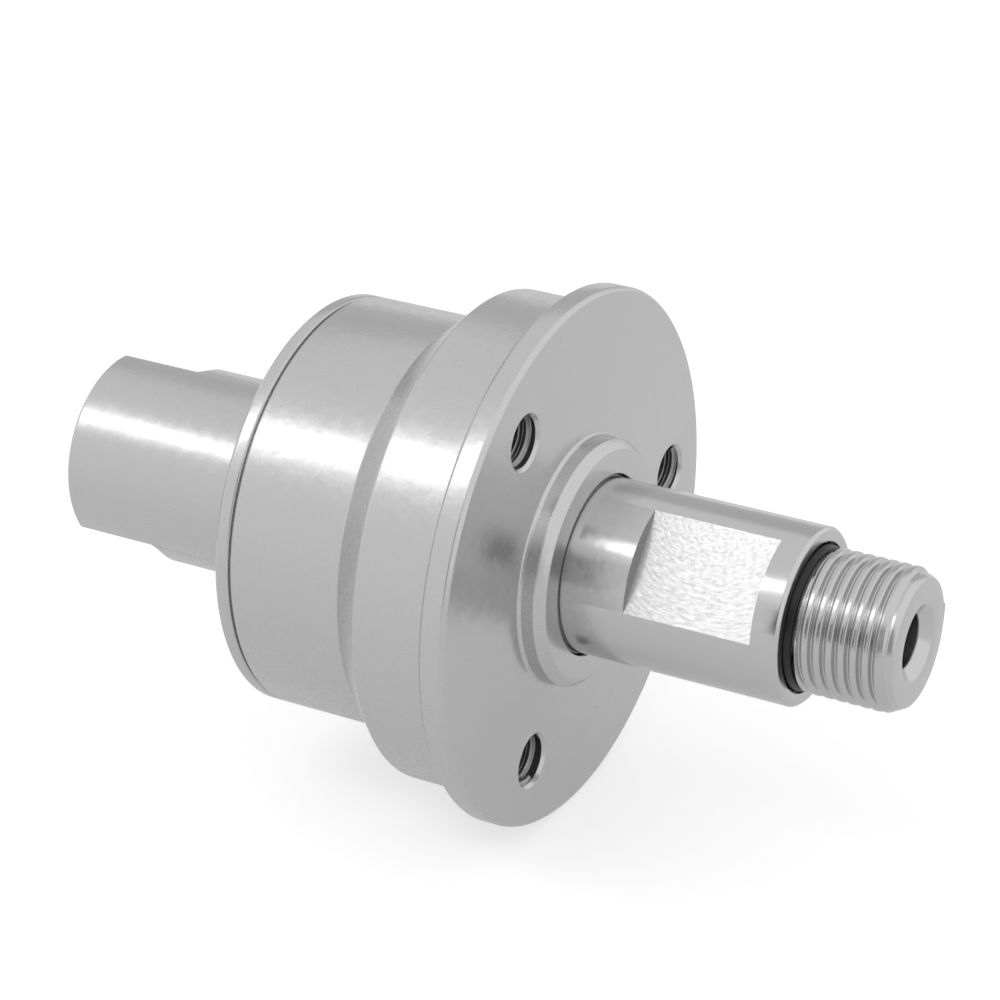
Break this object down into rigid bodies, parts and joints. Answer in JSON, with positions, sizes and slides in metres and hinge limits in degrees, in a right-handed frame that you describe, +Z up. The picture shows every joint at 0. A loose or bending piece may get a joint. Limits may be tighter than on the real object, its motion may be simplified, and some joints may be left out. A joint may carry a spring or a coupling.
{
  "type": "hydraulic rotary union",
  "caption": "Rotary union: a flanged steel housing with a rear inlet port and a bored shaft that turns in ball bearings and ends in a male pipe thread.",
  "frame": {"origin": "centre of the flange's front face, on the common axis of the housing and the shaft", "axes": "+X along the axis towards the shaft's male thread, +Z up"},
  "size_m": [0.1323, 0.08, 0.08],
  "materials": {
    "turned_steel": "fine-turned stainless steel, satin",
    "ground_steel": "ground stainless steel, bright satin",
    "bearing_steel": "polished hardened steel",
    "pressed_steel": "pressed sheet steel",
    "spring_steel": "oiled spring steel",
    "bush_bronze": "machined bearing bronze",
    "seal_plastic": "filled fluoropolymer, satin",
    "cage_plastic": "moulded polyamide",
    "black_rubber": "moulded nitrile rubber, slight sheen"
  },
  "bodies": {
    "housing": {"flanged_housing": "turned_steel", "inlet_cap": "turned_steel", "cap_o_ring": "black_rubber", "dust_seal_case": "pressed_steel", "dust_seal_lip": "black_rubber", "dust_seal_garter_spring": "spring_steel", "front_bearing_outer_ring": "bearing_steel", "front_bearing_shields": "pressed_steel", "rear_bearing_outer_ring": "bearing_steel", "rear_bearing_shields": "pressed_steel", "outer_spacer_sleeve": "turned_steel", "preload_wave_spring": "spring_steel", "pressure_seal_jacket": "seal_plastic", "pressure_seal_spring": "spring_steel", "backup_ring": "seal_plastic", "guide_bush": "bush_bronze", "seal_retaining_washer": "pressed_steel", "seal_circlip": "spring_steel"},
    "rotor": {"shaft": "ground_steel", "shaft_circlip": "spring_steel", "front_bearing_inner_ring": "bearing_steel", "rear_bearing_inner_ring": "bearing_steel", "inner_spacer_sleeve": "turned_steel", "thread_seal_ring": "black_rubber", "v_ring": "black_rubber"},
    "front_ball_set": {"front_bearing_balls": "bearing_steel", "front_bearing_cage": "cage_plastic"},
    "rear_ball_set": {"rear_bearing_balls": "bearing_steel", "rear_bearing_cage": "cage_plastic"}
  },
  "joints": [
    {"name": "shaft_spin", "type": "hinge", "parent": "housing", "child": "rotor", "pos_m": [0, 0, 0], "axis": [1, 0, 0], "continuous": true},
    {"name": "front_balls_orbit", "type": "hinge", "parent": "housing", "child": "front_ball_set", "pos_m": [-0.0125, 0, 0], "axis": [1, 0, 0], "continuous": true},
    {"name": "rear_balls_orbit", "type": "hinge", "parent": "housing", "child": "rear_ball_set", "pos_m": [-0.0245, 0, 0], "axis": [1, 0, 0], "continuous": true}
  ],
  "couplings": [
    {"joint": "front_balls_orbit", "follows": "shaft_spin", "ratio": 0.43818},
    {"joint": "rear_balls_orbit", "follows": "shaft_spin", "ratio": 0.43818}
  ]
}
